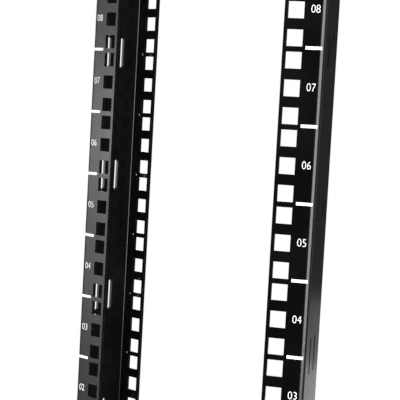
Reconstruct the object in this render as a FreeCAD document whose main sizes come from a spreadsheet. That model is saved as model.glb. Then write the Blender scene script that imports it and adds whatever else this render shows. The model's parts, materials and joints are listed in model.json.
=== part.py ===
"""A pair of rack mounting rails, each a folded channel with a bolted bracket at its foot and head.

Every piece of a rail is drawn in that rail's own frame: X runs across the flanges, from the front one's
hole line to the web, Y from flange to flange with 0 midway, and Z up from the floor. The rear flange is
the narrower one, so a rail has a hand. The right rail is drawn with its front at -Y. The left one has it
at +Y, and is then turned half round to stand beside the other.
"""

import FreeCAD
import Part
import Sketcher
import math
import os
import re

# Driving sizes in millimetres, degrees or counts
SIZES = {
    # rack standard
    "units_high": 12,
    "unit_height": 44.45,
    "square_hole": 9.5,
    "boundary_land": 3.2,
    # folded channel
    "channel_depth": 45.0,
    "web_offset": 17.7,
    "edge_land": 1.95,
    "rear_setback": 3.7,
    "channel_sheet": 2.0,
    "channel_bend": 1.0,
    "index_hole": 2.4,
    "index_land": 1.35,
    "slot_length": 22.0,
    "slot_width": 3.0,
    "slot_spacing": 12.8,
    "slot_forward": 1.5,
    "units_per_slot": 2,
    # end brackets
    "bracket_sheet": 3.0,
    "bracket_bend": 2.0,
    "bracket_reach": 42.0,
    "bracket_border": 9.8,
    "bracket_corner": 6.0,
    "fixing_hole": 6.6,
    "fixing_spacing": 18.0,
    "fixing_inset": 13.0,
    # screws, washers and nuts
    "screw_size": 5.0,
    "screw_spacing": 12.8,
    "screw_play": 0.5,
    "screw_proud": 1.5,
    "screw_tip": 0.6,
    "hexagon_width": 8.0,
    "hexagon_chamfer": 0.2,
    "head_height": 3.5,
    "nut_height": 4.0,
    "thread_play": 0.1,
    "washer_width": 10.0,
    "washer_sheet": 1.0,
    "lock_width": 9.2,
    "lock_sheet": 1.2,
    "lock_gap": 0.9,
    # how the pair stands: the left rail's hole line from the right one's, and its turn
    "left_across": -151.2,
    "left_back": 143.5,
    "left_turn": -27.5,
}

# Sizes that follow from the driving ones
RAIL_LENGTH = "(units_high * unit_height)"
HOLE_STEP = "(unit_height / 2 - boundary_land / 2 - square_hole / 2)"
FREE_EDGE = "(square_hole / 2 + edge_land)"
INDEX_OFFSET = "(square_hole / 2 + index_land + index_hole / 2)"
SLOT_PITCH = "(unit_height * units_per_slot)"
SLOT_COUNT = "floor(units_high / units_per_slot)"
SCREW_LINE = "screw_spacing / 2"
SCREW_RISE = "(unit_height / 2)"
SCREW_HOLE = "(screw_size + screw_play)"
HEAD_SEAT = "(web_offset + bracket_sheet)"
HEAD_TOP = "(%s + head_height)" % HEAD_SEAT
WASHER_SEAT = "(web_offset - channel_sheet)"
LOCK_SEAT = "(%s - washer_sheet)" % WASHER_SEAT
NUT_SEAT = "(%s - lock_sheet)" % LOCK_SEAT
NUT_END = "(%s - nut_height)" % NUT_SEAT
SCREW_END = "(%s - screw_proud)" % NUT_END
CHAMFER_START = "(hexagon_width / 2 - hexagon_chamfer)"
CHAMFER_RIM = "(hexagon_width / sqrt(3) + hexagon_chamfer)"
CHAMFER_DROP = "((%s - %s) / sqrt(3))" % (CHAMFER_RIM, CHAMFER_START)

PLAN, FACE, SIDE = "XY_Plane", "XZ_Plane", "YZ_Plane"
UPWARD = FreeCAD.Vector(0, 0, 1)
START, END, CENTRE = range(1, 4)
TOUCHING = 0.01


def tied(text):
    """The expression that reads each size named in the text from the sheet."""
    return re.sub(r"[a-z_]+", lambda word: "Sizes." * (word.group() in SIZES) + word.group(), text)


def value(text):
    """What such an expression comes to."""
    return float(doc.Sizes.evalExpression(tied(text)))


def vector(across, up):
    return FreeCAD.Vector(value(across), value(up), 0)


def make_sheet():
    sheet = doc.addObject("Spreadsheet::Sheet", "Sizes")
    for row, (name, number) in enumerate(SIZES.items(), start=1):
        sheet.set("A%d" % row, name)
        sheet.set("B%d" % row, str(number))
        sheet.setAlias("B%d" % row, name)
    doc.recompute()


def make_body(label):
    body = doc.addObject("PartDesign::Body", label)
    body.Label = label
    return body


def origin_feature(body, role):
    return next(item for item in body.Origin.OriginFeatures if item.Role == role)


def make_sketch(body, name, plane, lift="0"):
    """A sketch on one of the body's own planes, lifted off it along its normal."""
    sketch = body.newObject("Sketcher::SketchObject", name)
    sketch.AttachmentSupport = [(origin_feature(body, plane), "")]
    sketch.MapMode = "FlatFace"
    sketch.setExpression("AttachmentOffset.Base.z", tied(lift))
    return sketch


def hold(sketch, kind, *places):
    sketch.addConstraint(Sketcher.Constraint(kind, *places))


def set_size(sketch, kind, text, *places):
    """Adds a dimension to the sketch and ties it to the sheet."""
    index = sketch.addConstraint(Sketcher.Constraint(kind, *places, value(text)))
    sketch.setExpression("Constraints[%d]" % index, tied(text))


def set_place(sketch, kind, text, geometry, which):
    """A dimension from the sketch's own origin, which the sketcher counts as geometry -1."""
    set_size(sketch, kind, text, -1, START, geometry, which)


def set_point(sketch, geometry, which, across, up):
    set_place(sketch, "DistanceX", across, geometry, which)
    set_place(sketch, "DistanceY", up, geometry, which)


def draw_circle(sketch, across, up, width):
    circle = sketch.addGeometry(Part.Circle(vector(across, up), UPWARD, value(width) / 2))
    set_point(sketch, circle, CENTRE, across, up)
    set_size(sketch, "Diameter", width, circle)


def draw_outline(sketch, corners):
    """A closed outline of level and upright lines. Each corner is (across, up, radius), None when sharp."""
    points = [vector(across, up) for across, up, _ in corners]
    lines = []
    for i in range(len(corners)):
        following = (i + 1) % len(corners)
        along = (points[following] - points[i]).normalize()
        start = points[i] + along * value(corners[i][2] or "0")
        end = points[following] - along * value(corners[following][2] or "0")
        line = sketch.addGeometry(Part.LineSegment(start, end))
        if abs(along.x) < abs(along.y):
            hold(sketch, "Vertical", line)
            set_place(sketch, "DistanceX", corners[i][0], line, START)
        else:
            hold(sketch, "Horizontal", line)
            set_place(sketch, "DistanceY", corners[i][1], line, START)
        lines.append(line)
    for i in range(len(corners)):
        if corners[i][2]:
            round_corner(sketch, lines[i - 1], lines[i], corners[i][2])
        else:
            hold(sketch, "Coincident", lines[i - 1], END, lines[i], START)


def round_corner(sketch, before, after, radius):
    """A quarter turn that runs from the end of one line into the start of the next."""
    first, last = sketch.Geometry[before], sketch.Geometry[after]
    into = (first.EndPoint - first.StartPoint).normalize()
    out = (last.EndPoint - last.StartPoint).normalize()
    centre = first.EndPoint + out * value(radius)
    leftward = into.cross(out).z > 0
    spoke = (first.EndPoint if leftward else last.StartPoint) - centre
    angle = math.atan2(spoke.y, spoke.x)
    circle = Part.Circle(centre, UPWARD, value(radius))
    arc = sketch.addGeometry(Part.ArcOfCircle(circle, angle, angle + math.pi / 2))
    entry, leave = (START, END) if leftward else (END, START)
    hold(sketch, "Tangent", before, END, arc, entry)
    hold(sketch, "Tangent", arc, leave, after, START)
    set_size(sketch, "Radius", radius, arc)


def draw_rectangle(sketch, across, up, width, height):
    left, right = ("%s %s %s / 2" % (across, sign, width) for sign in "-+")
    low, high = ("%s %s %s / 2" % (up, sign, height) for sign in "-+")
    draw_outline(sketch, [(left, low, None), (right, low, None), (right, high, None), (left, high, None)])


def draw_slot(sketch, across, up, width, length):
    """An upright slot with round ends."""
    reach = "(%s - %s) / 2" % (length, width)
    middle, rise = vector(across, up), vector("0", reach)
    aside = vector(width, "0") / 2
    right = sketch.addGeometry(Part.LineSegment(middle + aside - rise, middle + aside + rise))
    left = sketch.addGeometry(Part.LineSegment(middle - aside + rise, middle - aside - rise))
    top_circle = Part.Circle(middle + rise, UPWARD, aside.x)
    low_circle = Part.Circle(middle - rise, UPWARD, aside.x)
    top = sketch.addGeometry(Part.ArcOfCircle(top_circle, 0, math.pi))
    low = sketch.addGeometry(Part.ArcOfCircle(low_circle, math.pi, 2 * math.pi))
    for before, after in ((right, top), (top, left), (left, low), (low, right)):
        hold(sketch, "Tangent", before, END, after, START)
    set_size(sketch, "Radius", "%s / 2" % width, top)
    set_point(sketch, top, CENTRE, across, "%s + %s" % (up, reach))
    set_point(sketch, low, CENTRE, across, "%s - %s" % (up, reach))


def draw_hexagon(sketch, across, up, width):
    """A hexagon given by its width across the flats, two of which stand upright."""
    corner_reach = "%s / sqrt(3)" % width
    rim_circle = Part.Circle(vector(across, up), UPWARD, value(corner_reach))
    corners = [rim_circle.value(math.radians(30 + 60 * i)) for i in range(6)]
    sides = [sketch.addGeometry(Part.LineSegment(corners[i - 1], corners[i])) for i in range(6)]
    rim = sketch.addGeometry(rim_circle, True)
    for i in range(6):
        hold(sketch, "Coincident", sides[i - 1], END, sides[i], START)
        hold(sketch, "PointOnObject", sides[i], START, rim)
    for i in range(1, 6):
        hold(sketch, "Equal", sides[i - 1], sides[i])
    hold(sketch, "Vertical", sides[0])
    set_point(sketch, rim, CENTRE, across, up)
    set_size(sketch, "Radius", corner_reach, rim)


def draw_chain(sketch, stations):
    """A closed chain of straight lines through the stations."""
    points = [vector(across, up) for across, up in stations]
    lines = [sketch.addGeometry(Part.LineSegment(points[i - 1], points[i])) for i in range(len(points))]
    for i, (across, up) in enumerate(stations):
        hold(sketch, "Coincident", lines[i - 1], END, lines[i], START)
        set_point(sketch, lines[i], END, across, up)


def draw_axis(sketch, across, other_across, up):
    """A level construction line to turn a profile round."""
    line = sketch.addGeometry(Part.LineSegment(vector(across, up), vector(other_across, up)), True)
    set_point(sketch, line, START, across, up)
    set_point(sketch, line, END, other_across, up)


def pad(body, sketch, length, symmetric=False, inward=False):
    feature = body.newObject("PartDesign::Pad", "Pad")
    feature.Profile = sketch
    feature.SideType = "Symmetric" if symmetric else "One side"
    feature.Reversed = inward
    feature.setExpression("Length", tied(length))
    return feature


def cut_through(body, sketch, length=None):
    """A pocket both ways from its sketch, right through the piece or over a length."""
    feature = body.newObject("PartDesign::Pocket", "Pocket")
    feature.Profile = sketch
    feature.SideType = "Symmetric"
    if length:
        feature.setExpression("Length", tied(length))
    else:
        feature.Type = "ThroughAll"
    return feature


def spin(body, kind, sketch):
    """Turns the sketch once round its own construction line."""
    feature = body.newObject("PartDesign::" + kind, kind)
    feature.Profile = sketch
    feature.ReferenceAxis = (sketch, ["Axis0"])
    feature.Angle = 360
    return feature


def repeat(body, features, axis, spacing, count):
    pattern = body.newObject("PartDesign::LinearPattern", "Pattern")
    pattern.Originals = features
    pattern.Direction = (origin_feature(body, axis), [""])
    pattern.Mode = "Spacing"
    pattern.setExpression("Offset", tied(spacing))
    pattern.setExpression("Occurrences", tied(count))
    body.Tip = pattern


def repeat_as_pair(body, features):
    """The piece on one screw's line again on the other's."""
    repeat(body, features, "Y_Axis", "screw_spacing", "2")


def make_rail(label, front, rear):
    """The folded channel. front and rear are the signs of Y on the two flanges' sides."""
    body = make_body(label)
    front_face, rear_face = front + "channel_depth / 2", rear + "channel_depth / 2"
    front_inside = "%s1 * (channel_depth / 2 - channel_sheet)" % front
    rear_inside = "%s1 * (channel_depth / 2 - channel_sheet)" % rear
    front_edge, rear_edge = "-" + FREE_EDGE, "rear_setback - " + FREE_EDGE
    bend_outside = "(channel_bend + channel_sheet)"
    profile = make_sketch(body, "Profile", PLAN)
    draw_outline(profile, [
        (front_edge, front_face, None),
        ("web_offset", front_face, bend_outside),
        ("web_offset", rear_face, bend_outside),
        (rear_edge, rear_face, None),
        (rear_edge, rear_inside, None),
        (WASHER_SEAT, rear_inside, "channel_bend"),
        (WASHER_SEAT, front_inside, "channel_bend"),
        (front_edge, front_inside, None),
    ])
    pad(body, profile, RAIL_LENGTH)
    punch_square_holes(body, "FrontHoles", front, "0")
    punch_square_holes(body, "RearHoles", rear, "rear_setback")

    index_holes = make_sketch(body, "IndexHoles", FACE, flange_lift(rear))
    draw_circle(index_holes, "rear_setback + " + INDEX_OFFSET, "unit_height", "index_hole")
    index_cut = cut_through(body, index_holes, "2 * channel_sheet")
    repeat(body, [index_cut], "Z_Axis", "unit_height", "units_high - 1")

    screw_holes = make_sketch(body, "ScrewHoles", SIDE)
    slots = make_sketch(body, "Slots", SIDE)
    for side in ("-", ""):
        for level in (from_floor, from_top):
            draw_circle(screw_holes, side + SCREW_LINE, level(SCREW_RISE), SCREW_HOLE)
        slot_line = "%s1 * slot_forward + %s1 * slot_spacing / 2" % (front, side)
        draw_slot(slots, slot_line, SLOT_PITCH + " / 2", "slot_width", "slot_length")
    cut_through(body, screw_holes)
    repeat(body, [cut_through(body, slots)], "Z_Axis", SLOT_PITCH, SLOT_COUNT)
    return body


def flange_lift(side):
    """How far a sketch on the upright plane goes along its normal, -Y, to lie in the middle of a flange."""
    return "-1 * (%s1 * (channel_depth - channel_sheet) / 2)" % side


def punch_square_holes(body, name, side, line):
    """Three square holes a unit through one flange, on an upright line."""
    holes = make_sketch(body, name, FACE, flange_lift(side))
    for step in ("- " + HOLE_STEP, "", "+ " + HOLE_STEP):
        draw_rectangle(holes, line, "unit_height / 2 " + step, "square_hole", "square_hole")
    repeat(body, [cut_through(body, holes, "2 * channel_sheet")], "Z_Axis", "unit_height", "units_high")


def make_bracket(label, level):
    """A folded angle on the outside of the web.

    level turns a distance from the end of the rail that it sits on into a height above the floor.
    """
    body = make_body(label)
    end = "(web_offset + bracket_reach)"
    rise = SCREW_RISE + " + bracket_border"
    profile = make_sketch(body, "Profile", FACE)
    draw_outline(profile, [
        ("web_offset", level("0"), "(bracket_bend + bracket_sheet)"),
        (end, level("0"), None),
        (end, level("bracket_sheet"), None),
        (HEAD_SEAT, level("bracket_sheet"), "bracket_bend"),
        (HEAD_SEAT, level(rise), None),
        ("web_offset", level(rise), None),
    ])
    angle = pad(body, profile, "screw_spacing + 2 * bracket_border", symmetric=True)
    doc.recompute()
    corners = body.newObject("PartDesign::Fillet", "Corners")
    corners.Base = (angle, end_edges(angle.Shape, value(end), value(level(rise))))
    corners.setExpression("Radius", tied("bracket_corner"))

    screw_holes = make_sketch(body, "ScrewHoles", SIDE)
    fixing_holes = make_sketch(body, "FixingHoles", PLAN)
    for side in ("-", ""):
        draw_circle(screw_holes, side + SCREW_LINE, level(SCREW_RISE), SCREW_HOLE)
        draw_circle(fixing_holes, end + " - fixing_inset", side + "fixing_spacing / 2", "fixing_hole")
    cut_through(body, screw_holes)
    cut_through(body, fixing_holes)
    return body


def end_edges(shape, end, tip):
    """The edges across the sheet at the free ends of an angle's two legs."""
    names = []
    for i, edge in enumerate(shape.Edges, start=1):
        at_end = edge.BoundBox.XMin > end - TOUCHING
        at_tip = abs(edge.BoundBox.ZMin - tip) + abs(edge.BoundBox.ZMax - tip) < TOUCHING
        if (at_end or at_tip) and edge.BoundBox.YLength < TOUCHING:
            names.append("Edge%d" % i)
    return names


def chamfer_hexagon(body, line, height, face, inward):
    """Turns the corners off a hexagon at one face. inward is the sign of the way into the piece."""
    low = "%s %s %s" % (face, inward, CHAMFER_DROP)
    start, rim = line + " + " + CHAMFER_START, line + " + " + CHAMFER_RIM
    chamfer = make_sketch(body, "Chamfer", PLAN, height)
    draw_axis(chamfer, face, low, line)
    draw_chain(chamfer, [(face, start), (face, rim), (low, rim)])
    return spin(body, "Groove", chamfer)


def make_screws(label, height):
    """Hexagon-headed screws, driven from the bracket's side."""
    body = make_body(label)
    line = "-" + SCREW_LINE
    surface = line + " + screw_size / 2"
    profile = make_sketch(body, "Profile", PLAN, height)
    draw_axis(profile, SCREW_END, HEAD_SEAT, line)
    draw_chain(profile, [
        (SCREW_END, line),
        (HEAD_SEAT, line),
        (HEAD_SEAT, surface),
        (SCREW_END + " + screw_tip", surface),
        (SCREW_END, surface + " - screw_tip"),
    ])
    shank = spin(body, "Revolution", profile)
    hexagon = make_sketch(body, "Hexagon", SIDE, HEAD_SEAT)
    draw_hexagon(hexagon, line, height, "hexagon_width")
    head = pad(body, hexagon, "head_height")
    repeat_as_pair(body, [shank, head, chamfer_hexagon(body, line, height, HEAD_TOP, "-")])
    return body


def make_washers(label, height, seat, width, sheet, gap=None):
    """Washers on a seat inside the channel. A gap splits them."""
    body = make_body(label)
    line = "-" + SCREW_LINE
    ring = make_sketch(body, "Ring", SIDE, seat)
    draw_circle(ring, line, height, width)
    draw_circle(ring, line, height, SCREW_HOLE)
    features = [pad(body, ring, sheet, inward=True)]
    if gap:
        split = make_sketch(body, "Split", SIDE, seat)
        draw_rectangle(split, line, "%s + %s / 2" % (height, width), gap, width)
        features.append(cut_through(body, split))
    repeat_as_pair(body, features)
    return body


def make_nuts(label, height):
    """Hexagon nuts with a flat seat and the corners turned off at the other face."""
    body = make_body(label)
    line = "-" + SCREW_LINE
    hexagon = make_sketch(body, "Hexagon", SIDE, NUT_SEAT)
    draw_hexagon(hexagon, line, height, "hexagon_width")
    draw_circle(hexagon, line, height, "screw_size + thread_play")
    nut = pad(body, hexagon, "nut_height", inward=True)
    repeat_as_pair(body, [nut, chamfer_hexagon(body, line, height, NUT_END, "+")])
    return body


def make_end(name, level):
    """The bracket at one end of a rail, and what fastens it to the web below or above the slots."""
    height = level(SCREW_RISE)
    return [
        make_bracket(name + "_bracket", level),
        make_screws(name + "_screws", height),
        make_washers(name + "_washers", height, WASHER_SEAT, "washer_width", "washer_sheet"),
        make_washers(name + "_lock_washers", height, LOCK_SEAT, "lock_width", "lock_sheet", "lock_gap"),
        make_nuts(name + "_nuts", height),
    ]


def from_floor(rise):
    return "(%s)" % rise


def from_top(drop):
    return "(%s - (%s))" % (RAIL_LENGTH, drop)


def make_assembly(name, front, rear):
    return [
        make_rail(name + "_rail", front, rear),
        *make_end(name + "_foot", from_floor),
        *make_end(name + "_head", from_top),
    ]


def turn_to_left(body):
    """Stands a piece of the left rail where the pair has it, with its web on the other side."""
    body.Placement = FreeCAD.Placement(FreeCAD.Vector(), FreeCAD.Rotation(UPWARD, 180))
    body.setExpression("Placement.Base.x", tied("left_across"))
    body.setExpression("Placement.Base.y", tied("left_back"))
    body.setExpression("Placement.Rotation.Angle", tied("180 + left_turn"))


def check(bodies):
    for item in doc.Objects:
        if "Invalid" in item.State or "Error" in item.State:
            raise RuntimeError("%s did not compute" % item.Label)
    for body in bodies:
        if body.Shape.isNull() or not body.Shape.isValid():
            raise RuntimeError("%s has no sound shape" % body.Label)


doc = FreeCAD.newDocument("rack_rails")
make_sheet()
right_pieces = make_assembly("right", front="-", rear="")
left_pieces = make_assembly("left", front="", rear="-")
for piece in left_pieces:
    turn_to_left(piece)
doc.recompute()
check(right_pieces + left_pieces)
os.makedirs("parts", exist_ok=True)
for piece in right_pieces + left_pieces:
    piece.Shape.exportStep(os.path.join("parts", piece.Label + ".step"))
    print(piece.Label, len(piece.Shape.Solids), "solids", round(piece.Shape.Volume, 1), "mm3")
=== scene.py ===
# %% [markdown]
# # A pair of rack mounting rails
# The folded channels, their end brackets and the screws come finished from the CAD model, at their real
# size and place. What is left for Blender is the look: black powder coat, bright zinc on the fasteners, and
# the white print that numbers the rack units. This lesson adds them one at a time.

# %% Load the rails
import json
import math

import bmesh
import bpy
from mathutils import Matrix, Vector


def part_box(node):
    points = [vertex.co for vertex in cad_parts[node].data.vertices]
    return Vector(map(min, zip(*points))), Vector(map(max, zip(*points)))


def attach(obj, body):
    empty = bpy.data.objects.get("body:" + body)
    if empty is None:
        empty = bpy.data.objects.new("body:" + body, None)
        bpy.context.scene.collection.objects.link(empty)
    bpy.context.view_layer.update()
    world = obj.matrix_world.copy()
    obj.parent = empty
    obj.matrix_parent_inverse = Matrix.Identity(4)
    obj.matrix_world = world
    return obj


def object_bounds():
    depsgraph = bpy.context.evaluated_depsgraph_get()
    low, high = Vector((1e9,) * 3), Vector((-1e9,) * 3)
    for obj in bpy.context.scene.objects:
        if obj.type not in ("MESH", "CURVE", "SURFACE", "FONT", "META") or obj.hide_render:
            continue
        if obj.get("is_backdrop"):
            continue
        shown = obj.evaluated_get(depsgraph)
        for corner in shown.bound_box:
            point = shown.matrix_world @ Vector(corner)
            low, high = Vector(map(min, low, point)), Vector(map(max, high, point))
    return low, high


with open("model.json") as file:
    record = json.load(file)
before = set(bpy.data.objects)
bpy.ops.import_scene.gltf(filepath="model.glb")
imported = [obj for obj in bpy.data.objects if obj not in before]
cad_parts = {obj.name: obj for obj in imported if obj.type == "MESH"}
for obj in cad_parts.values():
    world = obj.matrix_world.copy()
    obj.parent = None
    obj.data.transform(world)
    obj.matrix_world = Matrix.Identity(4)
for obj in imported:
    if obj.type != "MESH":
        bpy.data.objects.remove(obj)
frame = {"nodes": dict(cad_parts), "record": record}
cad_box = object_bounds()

MM = 0.001
UP = Vector((0, 0, 1))

# %% [markdown]
# ## The camera
# The rails in the photograph lean a little and run out of the frame at both ends. The unit lines are a known
# 44.45 mm apart, so the camera's place, tilt and focal length can be worked out from where they fall.
# A camera's matrix is its place times three turns: about the upright, up or down, and about its own view.

# %% Camera at the photograph's angle
CAMERA_PLACE = Vector((148.8, -765.3, 276.4)) * MM
CAMERA_TURN = math.radians(15.0)
CAMERA_TILT = math.radians(90 - 4.11)
CAMERA_ROLL = math.radians(3.20)
FOCAL_LENGTH = 118.8
SENSOR_WIDTH = 36.0


def make_camera():
    data = bpy.data.cameras.new("photo_camera")
    data.lens = FOCAL_LENGTH
    data.sensor_width = SENSOR_WIDTH
    camera = bpy.data.objects.new("photo_camera", data)
    turns = (Matrix.Rotation(CAMERA_TURN, 4, "Z")
             @ Matrix.Rotation(CAMERA_TILT, 4, "X")
             @ Matrix.Rotation(CAMERA_ROLL, 4, "Z"))
    camera.matrix_world = Matrix.Translation(CAMERA_PLACE) @ turns
    bpy.context.scene.collection.objects.link(camera)
    bpy.context.scene.camera = camera
    return camera


print(make_camera().name, "stands", round(CAMERA_PLACE.length, 3), "m from the foot of the right rail")

# %% [markdown]
# ## Shader maths that reads like Python
# A finish is a small network of shader nodes. Adding nodes one by one hides the idea, so one class wraps a
# node's output and gives it the usual operators: `1 - mask` then adds a Math node. Any other kind of node
# comes from one method, which takes the node's type, its settings and what goes into its sockets.

# %% Wires and networks
class Wire:
    """One output of a node. Arithmetic on it adds Math nodes to the same network."""

    def __init__(self, network, socket):
        self.network = network
        self.socket = socket

    def math(self, operation, first, second):
        return self.network.node("ShaderNodeMath", {"operation": operation}, {0: first, 1: second})

    def __add__(self, other):
        return self.math("ADD", self, other)

    def __sub__(self, other):
        return self.math("SUBTRACT", self, other)

    def __rsub__(self, other):
        return self.math("SUBTRACT", other, self)

    def __mul__(self, other):
        return self.math("MULTIPLY", self, other)

    __radd__ = __add__
    __rmul__ = __mul__


class Network:
    """The nodes of one material, or of the world."""

    def __init__(self, tree):
        self.tree = tree

    def feed(self, node, sockets):
        for name, value in sockets.items():
            if isinstance(value, Wire):
                self.tree.links.new(value.socket, node.inputs[name])
            else:
                node.inputs[name].default_value = value

    def node(self, kind, settings, sockets, output=0):
        made = self.tree.nodes.new(kind)
        for name, value in settings.items():
            setattr(made, name, value)
        self.feed(made, sockets)
        return Wire(self, made.outputs[output])

    def blend(self, share, first, second):
        """From the first colour to the second."""
        return self.node("ShaderNodeMix", {"data_type": "RGBA"}, {0: share, 6: first, 7: second}, 2)


print("arithmetic for shaders is ready")

# %% [markdown]
# ## What a finish is made of
# Paint, plating and ink differ in their numbers but share their parts: cloudy noise at some size, a smooth
# step that turns noise into patches, a bump, and a mask for sharp edges. Such a mask could be painted by
# hand. The Bevel node finds edges by itself: it gives a normal as if each edge were rounded, and that
# differs from the true normal only close to an edge.

# %% Finishes
SOFT = 2.0
BEVEL_SAMPLES = 6
EDGE_LIMITS = (0.02, 0.2)


class Finish(Network):
    """A material under construction. Values that are the same all over are set on the shader's sockets."""

    def __init__(self, name, constants):
        self.material = bpy.data.materials.new(name)
        self.material.use_nodes = True
        super().__init__(self.material.node_tree)
        self.shader = self.tree.nodes["Principled BSDF"]
        self.feed(self.shader, constants)

    def place(self):
        return self.node("ShaderNodeTexCoord", {}, {}, "Object")

    def noise(self, size, detail=SOFT):
        """Cloudy noise from 0 to 1, its blotches about this many metres across. More detail frays them."""
        sockets = {"Vector": self.place(), "Scale": 1 / size, "Detail": detail}
        return self.node("ShaderNodeTexNoise", {}, sockets)

    def ease(self, value, low, high):
        """0 below low, 1 above high and a smooth step between."""
        return self.node("ShaderNodeMapRange", {"interpolation_type": "SMOOTHSTEP"},
                         {"Value": value, "From Min": low, "From Max": high})

    def bump(self, height, depth, strength):
        return self.node("ShaderNodeBump", {}, {"Height": height, "Distance": depth, "Strength": strength})

    def edges(self, width):
        """1 on sharp edges and 0 from about this many metres away."""
        rounded = self.node("ShaderNodeBevel", {"samples": BEVEL_SAMPLES}, {"Radius": width})
        normal = self.node("ShaderNodeNewGeometry", {}, {}, "Normal")
        agreement = self.node("ShaderNodeVectorMath", {"operation": "DOT_PRODUCT"},
                              {0: rounded, 1: normal}, "Value")
        return self.ease(1 - agreement, *EDGE_LIMITS)


print("finishes are made of", ", ".join(name for name in vars(Finish) if not name.startswith("_")))

# %% [markdown]
# ## Black powder coat
# The channels and brackets are sprayed with dry powder that melts into a tough satin skin. Close up it has
# the soft pebbles called orange peel, and handling leaves broad patches that are a little paler and duller.
# Along cut edges the coat is thin and gets rubbed, so it turns greyer there in broken stretches.
# All this is too shallow to model, so it goes into the colour, the roughness and a bump, at its real size.

# %% Powder coat
BLACK = (0.0009, 0.0009, 0.001, 1)
RUBBED_BLACK = (0.0019, 0.0019, 0.002, 1)
EDGE_GREY = (0.035, 0.035, 0.036, 1)
COAT_IOR = 1.5
SATIN = 0.19
RAGGED = 4.0
EDGE_WIDTH = 0.5 * MM
RUB = 7 * MM
RUB_LIMITS = (0.38, 0.58)
RUB_DULLING = 0.1
SMUDGE = 55 * MM
SMUDGE_LIMITS = (0.42, 0.68)
SMUDGE_DULLING = 0.05
PEBBLE = 1.6 * MM
PEBBLE_DULLING = 0.05
PEBBLE_SHARE = 0.75
GRAIN = 0.35 * MM
PEEL_DEPTH = 0.02 * MM
PEEL_STRENGTH = 0.5


def powder_coat():
    coat = Finish("black_powder_coat", {"IOR": COAT_IOR})
    pebbles = coat.noise(PEBBLE)
    grain = coat.noise(GRAIN)
    smudges = coat.ease(coat.noise(SMUDGE, RAGGED), *SMUDGE_LIMITS)
    worn = coat.edges(EDGE_WIDTH) * coat.ease(coat.noise(RUB, RAGGED), *RUB_LIMITS)
    handled = coat.blend(smudges, BLACK, RUBBED_BLACK)
    peel = PEBBLE_SHARE * pebbles + (1 - PEBBLE_SHARE) * grain
    coat.feed(coat.shader, {
        "Base Color": coat.blend(worn, handled, EDGE_GREY),
        "Roughness": SATIN + SMUDGE_DULLING * smudges + PEBBLE_DULLING * pebbles + RUB_DULLING * worn,
        "Normal": coat.bump(peel, PEEL_DEPTH, PEEL_STRENGTH),
    })
    return coat.material


powder = powder_coat()
print(powder.name, "has", len(powder.node_tree.nodes), "nodes")

# %% [markdown]
# ## Bright zinc
# The screws, washers and nuts are plated. Zinc is a slightly blue metal, and its crystals give it a faint
# patchy gloss, so the roughness changes from patch to patch. Spanners and neighbours polish the edges.

# %% Zinc plate
ZINC = (0.60, 0.61, 0.63, 1)
DULL_ZINC = (0.46, 0.47, 0.49, 1)
POLISHED_ZINC = (0.72, 0.73, 0.74, 1)
BRIGHT = 0.24
CRISP = 3.0
SPANGLE = 1.2 * MM
SPANGLE_LIMITS = (0.35, 0.65)
SPANGLE_DULLING = 0.16
POLISH_WIDTH = 0.3 * MM
POLISH_GLOSS = 0.08
PLATE_DEPTH = 0.01 * MM
PLATE_STRENGTH = 0.4


def zinc_plate():
    plate = Finish("bright_zinc", {"Metallic": 1.0})
    spangle = plate.noise(SPANGLE, CRISP)
    polished = plate.edges(POLISH_WIDTH)
    crystals = plate.blend(plate.ease(spangle, *SPANGLE_LIMITS), ZINC, DULL_ZINC)
    plate.feed(plate.shader, {
        "Base Color": plate.blend(polished, crystals, POLISHED_ZINC),
        "Roughness": BRIGHT + SPANGLE_DULLING * spangle - POLISH_GLOSS * polished,
        "Normal": plate.bump(plate.noise(GRAIN), PLATE_DEPTH, PLATE_STRENGTH),
    })
    return plate.material


zinc = zinc_plate()
print(zinc.name, "has", len(zinc.node_tree.nodes), "nodes")

# %% [markdown]
# ## Dress the CAD pieces
# The sheet metal is coated before it is bolted together with plated fasteners, so what a piece is decides
# its finish. A list of all the pieces would do, but their names already say what they are.

# %% Finishes on the nodes
for name, node in frame["nodes"].items():
    node.data.materials.clear()
    node.data.materials.append(powder if name.endswith(("rail", "bracket")) else zinc)
print("powder coat and zinc on", len(frame["nodes"]), "nodes")

# %% [markdown]
# ## The printed flanges
# Each rack unit has a number beside its middle hole and a line at its edge, on the front flanges. They
# could be cut out as flat shapes and bent afterwards. It is simpler to measure them along the sheet, from
# the line of holes towards the web: one function then lays any such point on the folded sheet, flat or
# round the bend.

# %% Where the front flanges are
UNIT = 44.45 * MM
BEND_RADIUS = 3.0 * MM

mounts = {mount["name"]: mount for mount in frame["record"]["mounts"]}
rail_low, rail_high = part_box("right_rail")
half_depth = rail_high.y
flat_end = rail_high.x - BEND_RADIUS
units_high = round((rail_high.z - rail_low.z) / UNIT)


class Flange:
    """A rail's front face, with places on it measured from its line of holes towards the web."""

    def __init__(self, side):
        self.side = side
        self.holes = Vector(mounts[side + "_hole_line"]["pos_m"])
        self.outward = Vector(mounts[side + "_front_face"]["axis"])
        self.webward = Vector(mounts[side + "_web_slots"]["axis"])
        self.reading = round(UP.cross(self.outward).dot(self.webward))

    def point(self, reach, height, lift):
        """reach follows the sheet: straight along the flange, then round the bend."""
        angle = max(0.0, reach - flat_end) / BEND_RADIUS
        radius = BEND_RADIUS + lift
        across = min(reach, flat_end) + radius * math.sin(angle)
        out = half_depth - BEND_RADIUS + radius * math.cos(angle)
        return self.holes + self.webward * across + self.outward * out + UP * height


flanges = [Flange(side) for side in ("right", "left")]
print(units_high, "units on", len(flanges), "flanges")

# %% [markdown]
# ## White ink
# The print is screen-printed: a thin matt film that the mesh of the screen leaves a little uneven. An image
# on the paint would blur close up. A piece of its own, a few hundredths of a millimetre thick and sunk
# slightly into the coat, stays sharp and can carry its own finish.

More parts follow.
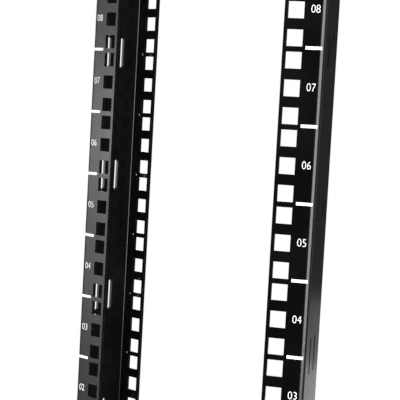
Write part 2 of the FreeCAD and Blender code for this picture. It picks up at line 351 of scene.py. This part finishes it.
# %% Ink
INK_WHITE = (0.9, 0.9, 0.9, 1)
THIN_INK = (0.55, 0.55, 0.55, 1)
INK_IOR = 1.45
INK_LIFT = 0.03 * MM
INK_SINK = -0.02 * MM
MATT = 0.45
SPECKLE = 0.4 * MM
SPECKLE_LIMITS = (0.6, 0.8)
SPECKLE_DULLING = 0.15
SPECKLE_DEPTH = 0.01 * MM
SPECKLE_STRENGTH = 0.3


def white_ink():
    film = Finish("white_ink", {"IOR": INK_IOR})
    speckle = film.noise(SPECKLE, CRISP)
    film.feed(film.shader, {
        "Base Color": film.blend(film.ease(speckle, *SPECKLE_LIMITS), INK_WHITE, THIN_INK),
        "Roughness": MATT + SPECKLE_DULLING * speckle,
        "Normal": film.bump(speckle, SPECKLE_DEPTH, SPECKLE_STRENGTH),
    })
    return film.material


ink = white_ink()


def print_piece(name, shape):
    """Turns a finished bmesh into a piece of print that rides with the rails."""
    bmesh.ops.recalc_face_normals(shape, faces=shape.faces)
    mesh = bpy.data.meshes.new(name)
    shape.to_mesh(mesh)
    shape.free()
    piece = bpy.data.objects.new(name, mesh)
    bpy.context.scene.collection.objects.link(piece)
    piece.data.materials.append(ink)
    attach(piece, "root")
    return piece


print(ink.name, "is", round((INK_LIFT - INK_SINK) / MM, 3), "mm thick")

# %% [markdown]
# ## Unit lines
# A line marks where one rack unit ends and the next begins. It starts just past the holes and runs part of
# the way round the bend, where the screen lost touch with the sheet. A flat box can't follow a bend, so each
# line is a chain of four-cornered rims, joined by faces and closed at both ends. In the photograph all the
# print sits about a millimetre above the exact boundaries, so it is raised by that much.

# %% Lines
PRINT_RISE = 0.95 * MM
LINE_START = 6.7 * MM
LINE_WIDTH = 1.86 * MM
LINE_WRAP = math.radians(31)
WRAP_STEPS = 6
RIM = ((-0.5, INK_SINK), (0.5, INK_SINK), (0.5, INK_LIFT), (-0.5, INK_LIFT))


def draw_line(shape, flange, height):
    """One closed strip of ink, from beside the holes to part of the way round the bend."""
    bend = [flat_end + BEND_RADIUS * LINE_WRAP * i / WRAP_STEPS for i in range(WRAP_STEPS + 1)]
    rims = []
    for reach in [LINE_START, *bend]:
        rims.append([shape.verts.new(flange.point(reach, height + LINE_WIDTH * share, lift))
                     for share, lift in RIM])
    for before, after in zip(rims, rims[1:]):
        for i in range(len(RIM)):
            shape.faces.new((before[i - 1], before[i], after[i], after[i - 1]))
    shape.faces.new(rims[0])
    shape.faces.new(rims[-1])


for flange in flanges:
    lines = bmesh.new()
    for unit in range(1, units_high):
        draw_line(lines, flange, unit * UNIT + PRINT_RISE)
    print(print_piece(flange.side + "_unit_lines", lines).name, "has", units_high - 1, "lines")

# %% [markdown]
# ## Unit numbers
# The units are counted from the floor, so that two people can mount one case level. Digits could be
# drawn stroke by stroke, but Blender's text objects do it well. A text becomes a mesh, its own box becomes
# a box of 1 by 1 by 1, and that is laid on the flange at the printed height and width.

# %% Numbers
NUMBER_REACH = 11.4 * MM
NUMBER_HEIGHT = 4.5 * MM
NUMBER_WIDTH = 5.25 * MM
BOLDNESS = -0.011
DRAWN_DEPTH = 0.5
WELD = 0.002 * MM


def number_mesh(text):
    """A solid drawing of the number in Blender's own typeface."""
    curve = bpy.data.curves.new("number", "FONT")
    curve.body = text
    curve.align_x = "CENTER"
    curve.offset = BOLDNESS
    curve.extrude = DRAWN_DEPTH
    holder = bpy.data.objects.new("number", curve)
    bpy.context.scene.collection.objects.link(holder)
    bpy.context.view_layer.update()
    mesh = bpy.data.meshes.new_from_object(holder.evaluated_get(bpy.context.evaluated_depsgraph_get()))
    bpy.data.objects.remove(holder)
    bpy.data.curves.remove(curve)
    return mesh


def draw_number(shape, flange, text, height):
    drawing = number_mesh(text)
    first = len(shape.verts)
    shape.from_mesh(drawing)
    bpy.data.meshes.remove(drawing)
    shape.verts.ensure_lookup_table()
    digits = shape.verts[first:]
    low = Vector([min(vert.co[axis] for vert in digits) for axis in range(3)])
    high = Vector([max(vert.co[axis] for vert in digits) for axis in range(3)])
    for vert in digits:
        right, rise, lift = ((vert.co[axis] - low[axis]) / (high[axis] - low[axis]) for axis in range(3))
        vert.co = flange.point(NUMBER_REACH + flange.reading * (right - 0.5) * NUMBER_WIDTH,
                               height + (rise - 0.5) * NUMBER_HEIGHT,
                               INK_SINK + lift * (INK_LIFT - INK_SINK))


for flange in flanges:
    numbers = bmesh.new()
    for unit in range(units_high):
        draw_number(numbers, flange, "%02d" % (unit + 1), (unit + 0.5) * UNIT + PRINT_RISE)
    bmesh.ops.remove_doubles(numbers, verts=numbers.verts, dist=WELD)
    print(print_piece(flange.side + "_unit_numbers", numbers).name, "has", units_high, "numbers")

# %% [markdown]
# ## Floor
# The photograph stands on pure white. A plane out to the horizon would show its edge, so a round pale floor
# gives the rails somewhere to stand, catches a soft shadow and fades away towards its rim. It is kept
# out of reflections, because the black coat would mirror it.

# %% Pale floor
FLOOR_RADIUS = 0.4
FLOOR_SIDES = 96
FADE_START = 0.2
FADE_END = 0.36
PALE = (0.9, 0.9, 0.9, 1)
PAPER_ROUGHNESS = 0.9


def make_floor():
    shape = bmesh.new()
    bmesh.ops.create_circle(shape, cap_ends=True, segments=FLOOR_SIDES, radius=FLOOR_RADIUS)
    mesh = bpy.data.meshes.new("floor")
    shape.to_mesh(mesh)
    shape.free()
    floor = bpy.data.objects.new("floor", mesh)
    low, high = (Vector(corner) for corner in cad_box)
    floor.location = ((low.x + high.x) / 2, (low.y + high.y) / 2, low.z)
    floor.visible_glossy = False
    bpy.context.scene.collection.objects.link(floor)
    paper = Finish("pale_floor", {"Base Color": PALE, "Roughness": PAPER_ROUGHNESS})
    reach = paper.node("ShaderNodeVectorMath", {"operation": "LENGTH"}, {0: paper.place()}, "Value")
    clear = paper.node("ShaderNodeBsdfTransparent", {}, {})
    faded = paper.node("ShaderNodeMixShader", {}, {
        0: paper.ease(reach, FADE_START, FADE_END), 1: Wire(paper, paper.shader.outputs[0]), 2: clear})
    paper.feed(paper.tree.nodes["Material Output"], {"Surface": faded})
    mesh.materials.append(paper.material)
    floor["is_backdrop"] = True
    return floor


print(make_floor().name, "fades out from", FADE_START, "to", FADE_END, "m")

# %% [markdown]
# ## Room
# Black paint shows little but what it reflects. The world is white where the camera looks straight at it,
# as in the photograph, and dark for every other ray, as in a studio with the lamps off.

# %% World
DARK_ROOM = (0.04, 0.04, 0.041, 1)
WHITE = (1, 1, 1, 1)


def make_world():
    world = bpy.data.worlds.new("studio")
    bpy.context.scene.world = world
    world.use_nodes = True
    room = Network(world.node_tree)
    seen = room.node("ShaderNodeLightPath", {}, {}, "Is Camera Ray")
    room.feed(room.tree.nodes["Background"], {"Color": room.blend(seen, DARK_ROOM, WHITE)})
    return world


print(make_world().name, "has", len(bpy.context.scene.world.node_tree.nodes), "nodes")

# %% [markdown]
# ## Lights
# Flat black metal is lit by reflections: each face shows one small part of the room. The left rail's face
# mirrors a tall box far to the left, in strips that are brightest in the middle. The right rail's bend
# mirrors two boxes in front, which also light its print, and fades out over two dim cards. The foot of its
# web mirrors pale cards on the floor behind it. A high box lights the left print without being mirrored.
# The rest shape the backs, and one box is overhead.

# %% Soft boxes
def soft_box(name, place, aim, width, height, radiance):
    """A rectangular light. radiance is how bright its face looks, with 1 as white paper."""
    data = bpy.data.lights.new(name, "AREA")
    data.shape = "RECTANGLE"
    data.size = width
    data.size_y = height
    data.energy = radiance * math.pi * width * height
    light = bpy.data.objects.new(name, data)
    place = Vector(place)
    light.location = place
    light.rotation_euler = (Vector(aim) - place).to_track_quat("-Z", "Y").to_euler()
    light.visible_camera = False
    bpy.context.scene.collection.objects.link(light)


# each strip's lower edge, upper edge and radiance
LEFT_STRIPS = ((0.36, 1.1, 2.0), (0.27, 0.36, 5.0), (0.14, 0.27, 7.4), (-0.12, 0.14, 3.4),
               (-0.4, -0.12, 1.6))
MID = (0.0, 0.0, 0.3)

for low, high, radiance in LEFT_STRIPS:
    middle = (low + high) / 2
    soft_box("left_box", (-1.338, -0.43, middle), aim=(-0.16, 0.12, middle),
             width=0.5, height=high - low, radiance=radiance)
soft_box("front_box", (0.764, -1.08, 0.4), aim=MID, width=0.6, height=1.2, radiance=8.0)
soft_box("side_box", (1.18, -0.6, 0.4), aim=MID, width=0.6, height=1.2, radiance=8.0)
soft_box("right_card", (1.21, -0.1, 0.3), aim=MID, width=0.38, height=1.4, radiance=0.6)
soft_box("back_card", (0.79, 0.92, 0.3), aim=MID, width=0.42, height=1.4, radiance=0.6)
soft_box("left_card", (-1.32, 0.79, 0.15), aim=(-0.15, 0.14, 0.15), width=0.9, height=1.5, radiance=0.4)
soft_box("far_card", (0.13, 0.75, 0.0), aim=(0.13, 0.75, 1.0), width=0.26, height=0.8, radiance=0.25)
soft_box("near_card", (0.1, 0.48, 0.0), aim=(0.1, 0.48, 1.0), width=0.26, height=0.34, radiance=0.5)
soft_box("print_box", (-0.9, -0.6, 0.9), aim=(-0.17, 0.12, 0.25), width=0.6, height=0.6, radiance=8.0)
soft_box("rear_box", (-0.55, 1.5, 0.55), aim=(-0.07, 0.08, 0.3), width=0.9, height=1.2, radiance=3.0)
soft_box("top_box", (-0.1, 0.1, 1.9), aim=(-0.1, 0.1, 0.0), width=1.6, height=1.6, radiance=6.0)
bpy.context.scene.view_settings.view_transform = "Standard"
print(len(bpy.data.lights), "lights")

# %% [markdown]
# ## Check the size
# The print may not change the object's size, so how far its box reaches past the CAD box is printed.

# %% Size
visual_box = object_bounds()
growth = max((Vector(seen) - Vector(made)).length for made, seen in zip(cad_box, visual_box))
print("the print adds", round(growth / MM, 3), "mm")
